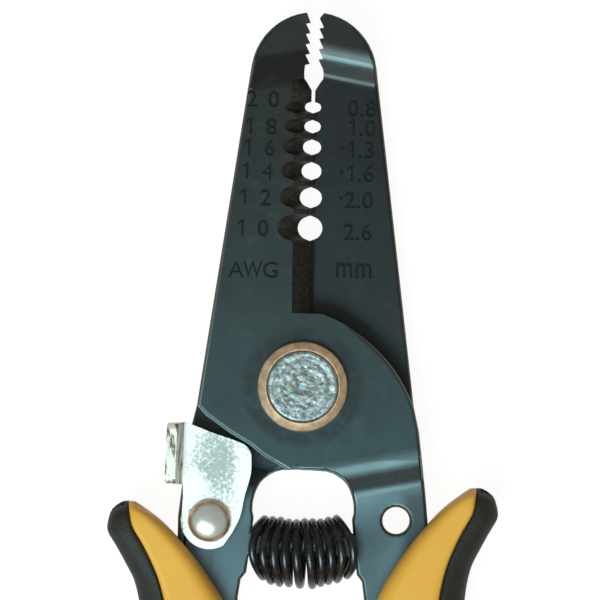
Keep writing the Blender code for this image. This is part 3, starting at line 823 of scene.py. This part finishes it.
def latch_outline():
    """The latch plate, from the lower to the upper end of the tab's bend."""
    foot = [(LATCH_PIVOT[0] + 3.15 * math.cos(math.radians(a)),
             LATCH_PIVOT[1] + 3.15 * math.sin(math.radians(a)))
            for a in range(165, 301, 9)]
    side = curve_through([(-7.78, -16.17), (-6.92, -14.39), (-6.41, -12.09), (-5.9, -10.39),
                          (-5.68, -9.22), (-5.68, -7.73), (-5.86, -7.1), (-6.42, -6.46),
                          (-7.48, -5.97)], 5)
    return [(-13.3, -12.2)] + foot + side + [(-10.18, -5.04), (-12.02, -4.3)]


def latch():
    """A plated sheet-metal latch whose thumb tab is bent up along its outer side."""
    foot, head = Vector((-13.3, -10.9, 0)), Vector((-12.98, -3.94, 0))
    along = (head - foot).normalized()
    outward = Vector((-along.y, along.x, 0))
    bm = bmesh.new()
    verts = [bm.verts.new((x, y, 0)) for x, y in latch_outline()]
    verts += [bm.verts.new(head), bm.verts.new(foot)]
    bm.faces.new(verts)
    row = verts[-2:]
    places = []
    for i in range(1, 9):
        turn = math.radians(LATCH_BEND * i / 8)
        places.append((math.sin(turn), 1 - math.cos(turn), 0.12 * i / 8))
    lean = math.radians(LATCH_BEND)
    for rise in (0.35, 0.68, 0.76, 0.84, 0.91, 0.96, 0.99, 1.0):
        height = TAB_REACH * rise
        past = max(0.0, height - (TAB_REACH - TAB_CORNER))
        inset = TAB_CORNER - math.sqrt(max(0.0, TAB_CORNER ** 2 - past ** 2))
        places.append((places[7][0] + height * math.cos(lean),
                       places[7][1] + height * math.sin(lean), 0.12 + inset))
    for reach, height, inward in places:
        made = bmesh.ops.extrude_edge_only(bm, edges=[bm.edges.get(row)])["geom"]
        new = [item for item in made if isinstance(item, bmesh.types.BMVert)]
        new.sort(key=lambda vert: -vert.co.y)
        for vert, start, way in zip(new, (head, foot), (-along, along)):
            vert.co = start + outward * reach + way * inward
            vert.co.z = height
        row = new
    level = LATCH_LOW + LATCH_SHEET / 2 - LATCH_SINK
    bmesh.ops.translate(bm, verts=bm.verts, vec=(0, 0, level))
    piece = finish_piece("lock_latch_plate", bm, "lock_latch", "zinc", "lock_latch",
                         MATERIALS["zinc"])
    sheet = piece.modifiers.new("Sheet", "SOLIDIFY")
    sheet.thickness = LATCH_SHEET * MM
    sheet.offset = 0.0
    sheet.use_even_offset = True
    rim = piece.modifiers.new("Rim", "BEVEL")
    rim.width = LATCH_RIM * MM
    rim.segments = 3
    rim.angle_limit = math.radians(50)
    settle(piece)
    weigh_normals(piece)
    return piece


def latch_rivet():
    """The domed rivet that the latch swings on."""
    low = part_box("latch_rivet")[0].z / MM
    seat = LATCH_LOW + LATCH_SHEET - 0.2
    turns = [math.radians(a) for a in range(0, 91, 5)]
    dome = [(DOME_RADIUS * math.sin(t), seat + 0.12 + DOME_HEIGHT * math.cos(t)) for t in turns]
    profile = dome + [(DOME_RADIUS - 0.02, seat), (1.4, seat), (1.4, low + 1.0), (2.1, low + 1.0),
                      (2.2, low + 0.85), (2.2, low + 0.3), (1.9, low), (0.0, low)]
    return finish_piece("latch_rivet_dome", turned(profile, LATCH_PIVOT, 64), "rear_lever",
                        "rivet_steel", "latch_rivet", MATERIALS["dome_steel"])


def spring():
    """The return spring: coils close on the jaw side, fanned and bowed to the handles."""
    per_turn = 28
    count = SPRING_TURNS * per_turn
    around = 14
    rings = []
    for i in range(count + 1):
        share = 2 * i / count - 1
        bulge = 1 - share ** 2
        parting = 0.22 * math.tanh(share * 9) * math.exp(-(share / 0.4) ** 2)
        uneven = 0.12 * math.sin(5.3 * share + 0.8)
        radius = SPRING_RADIUS + SPRING_SWELL * bulge + 0.08 * math.sin(9.1 * share + 0.6)
        turn = math.tau * i / per_turn - math.pi / 2

        def at(r):
            up = math.cos(turn)
            reach = SPRING_REACH - 0.5 * up - 1.5 * up * up
            return Vector((share * 0.95 * reach + (parting + uneven) * (0.5 - 0.5 * up),
                           SPRING_AXIS - SPRING_SAG * bulge + r * up,
                           MIDDLE + r * math.sin(turn)))

        centre = at(radius)
        outward = (at(radius + 1) - centre).normalized()
        sideways = Vector((1, 0.15 * share, 0)).normalized()
        rings.append([centre + (outward * math.cos(angle) + sideways * math.sin(angle))
                      * SPRING_WIRE / 2
                      for angle in (math.tau * k / around for k in range(around))])
    bm = sleeve(rings)
    piece = finish_piece("return_spring_coil", bm, None, "spring_steel", "return_spring",
                         MATERIALS["spring_black"], sharp=60.0)
    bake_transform(piece)
    return piece


# Grips --------------------------------------------------------------------------------

def grip_stations():
    """Rows down a grip: inner edge, parting line, back edge, and distance to its ends."""
    top = 44
    rows = [(a, b, c) for a, b, c in zip(evenly(GRIP_MOUTH, top), evenly(GRIP_PARTING, top),
                                         evenly(GRIP_BACK, top))]
    line = curve_through(GRIP_LINE, 16)
    half = GRIP_WIDTH / 2
    for share, middle in line[1:]:
        y = GRIP_THROAT - share * GRIP_LENGTH
        rows.append(tuple(Vector((middle + d, y)) for d in (-half, half - GRIP_COVER, half)))
    middle = line[-1][1]
    end = GRIP_THROAT - GRIP_LENGTH
    for i in range(1, 19):
        turn = math.radians(88.0 * i / 18)
        width, y = half * math.cos(turn), end - half * math.sin(turn)
        parting = min(middle + half - GRIP_COVER, middle + width * 0.94)
        rows.append((Vector((middle - width, y)), Vector((parting, y)),
                     Vector((middle + width, y))))
    return [(a, b, c, GRIP_TIP - b.y, b.y - (end - half)) for a, b, c in rows]


def grip_height(row, inside, outside):
    """Half the grip's thickness at distances from its inner and its back edge."""
    parting, from_tip, from_heel = row[1], row[3], row[4]
    share = min(1.0, max(0.0, (GRIP_TIP - parting.y) / 18.0))
    inner_round = 1.1 + 1.6 * share
    back_round = 2.6 + 1.8 * share
    q = max(0.0, 1 - inside / inner_round)
    p = max(0.0, 1 - outside / back_round)
    tip = max(0.0, 1 - (from_tip + 0.25) / 2.6)
    heel = max(0.0, 1 - from_heel / 4.5)
    full = GRIP_TOP / 2 * (0.84 + 0.16 * math.sin(share * math.pi / 2))
    edge = full * (0.62 - 0.14 * share) * (1 - 0.3 * heel * heel)
    crown = math.sqrt(max(0.0, 1 - min(1.0, q * q + p * p + tip * tip * 0.7 + heel * heel)))
    return edge + (full - edge) * crown


def grip_section(row, cover):
    """A closed ring of one grip piece: from its outer edge over the top to the seam."""
    inner, parting, back = row[:3]
    edge = back if cover else inner
    seam = parting + Vector((GRIP_SEAM if cover else 0.0, 0.0))
    width = (seam - edge).length
    steps, fillet = 16, min(0.25, 0.2 * width)
    heights = []
    for k in range(steps + 1):
        share = 1 - math.cos(math.pi / 2 * k / steps)
        point = edge.lerp(seam, share * (1 - fillet / width))
        inside = 99.0 if cover else (point - inner).length
        heights.append((point, grip_height(row, inside, (back - point).length)))
    heights.append((seam, heights[-1][1] - fillet))
    over = [Vector((p.x, p.y, MIDDLE + h)) for p, h in heights]
    under = [Vector((p.x, p.y, MIDDLE - h)) for p, h in heights]
    return over + under[::-1]


def grip_piece(name, node, side, cover, body, slot):
    """Half of a grip: its hard core, or the soft cover on its back."""
    sections = [grip_section(row, cover) for row in grip_stations()]
    if side == REAR:
        sections = [[Vector((-p.x, p.y - LEFT_GRIP_DROP, p.z)) for p in ring]
                    for ring in sections]
    return finish_piece(name, sleeve(sections), body, slot, node, MATERIALS[slot],
                        sharp=60.0)


def grips():
    for label, side, body in (("right", FRONT, "front_lever"), ("left", REAR, "rear_lever")):
        grip_piece(label + "_grip_body", label + "_grip_core", side, False, body,
                   "yellow_plastic")
        grip_piece(label + "_grip_soft_back", label + "_grip_cover", side, True, body,
                   "soft_black")


# Setting ------------------------------------------------------------------------------

def floor():
    bm = bmesh.new()
    bmesh.ops.create_grid(bm, x_segments=1, y_segments=1, size=1500)
    bmesh.ops.translate(bm, verts=bm.verts, vec=(0, 0, -0.05))
    finish_piece("floor", bm, None, None, None, MATERIALS["bench"])


def softbox(name, place, aim, size, power, colour, reflected=True):
    data = bpy.data.lights.new(name, "AREA")
    data.shape = "RECTANGLE"
    data.size, data.size_y = size
    data.energy = power
    data.color = colour
    lamp = bpy.data.objects.new(name, data)
    lamp.location = place
    lamp.rotation_euler = (Vector(aim) - Vector(place)).to_track_quat("-Z", "Y").to_euler()
    lamp.visible_camera = False
    lamp.visible_glossy = reflected
    bpy.context.scene.collection.objects.link(lamp)


def lights():
    softbox("key", (-0.13, -0.25, 0.42), (0.0, 0.0, 0.0), (0.36, 0.24), 3.3,
            (0.64, 0.93, 1.0))
    softbox("fill", (-0.1, -0.1, 0.8), (0.0, 0.0, 0.0), (0.35, 0.35), 2.2,
            (1.0, 0.98, 0.95), reflected=False)
    world = bpy.data.worlds.new("studio")
    bpy.context.scene.world = world
    world.use_nodes = True
    sky = world.node_tree.nodes["Background"]
    sky.inputs["Color"].default_value = (1.0, 0.99, 0.97, 1.0)
    sky.inputs["Strength"].default_value = 0.26


def camera():
    """Looks straight down on the head through a long lens."""
    view_centre = (-0.29, 9.61)
    field, distance = 66.7, 1.6
    data = bpy.data.cameras.new("camera")
    data.sensor_width = 36.0
    data.lens = 36.0 * distance / (field * MM)
    obj = bpy.data.objects.new("camera", data)
    obj.location = (view_centre[0] * MM, view_centre[1] * MM, distance + MIDDLE * MM)
    bpy.context.scene.collection.objects.link(obj)
    bpy.context.scene.camera = obj


bpy.context.scene.view_settings.view_transform = "Standard"
camera()
MATERIALS = {make.__name__: make() for make in (
    black_oxide, mark_black, copper, peened_steel, dome_steel, zinc, spring_black,
    yellow_plastic, soft_black, bench)}
left_marks, right_marks = gauge_marks()
lever("front_lever", FRONT, left_marks, FRONT_FACE)
lever("rear_lever", REAR, right_marks, REAR_FACE)
pivot_rivet()
collar("front_pivot_collar", FRONT_FACE, 1)
collar("rear_pivot_collar", REAR_FACE - PLATE, -1)
latch()
latch_rivet()
spring()
grips()
floor()
lights()
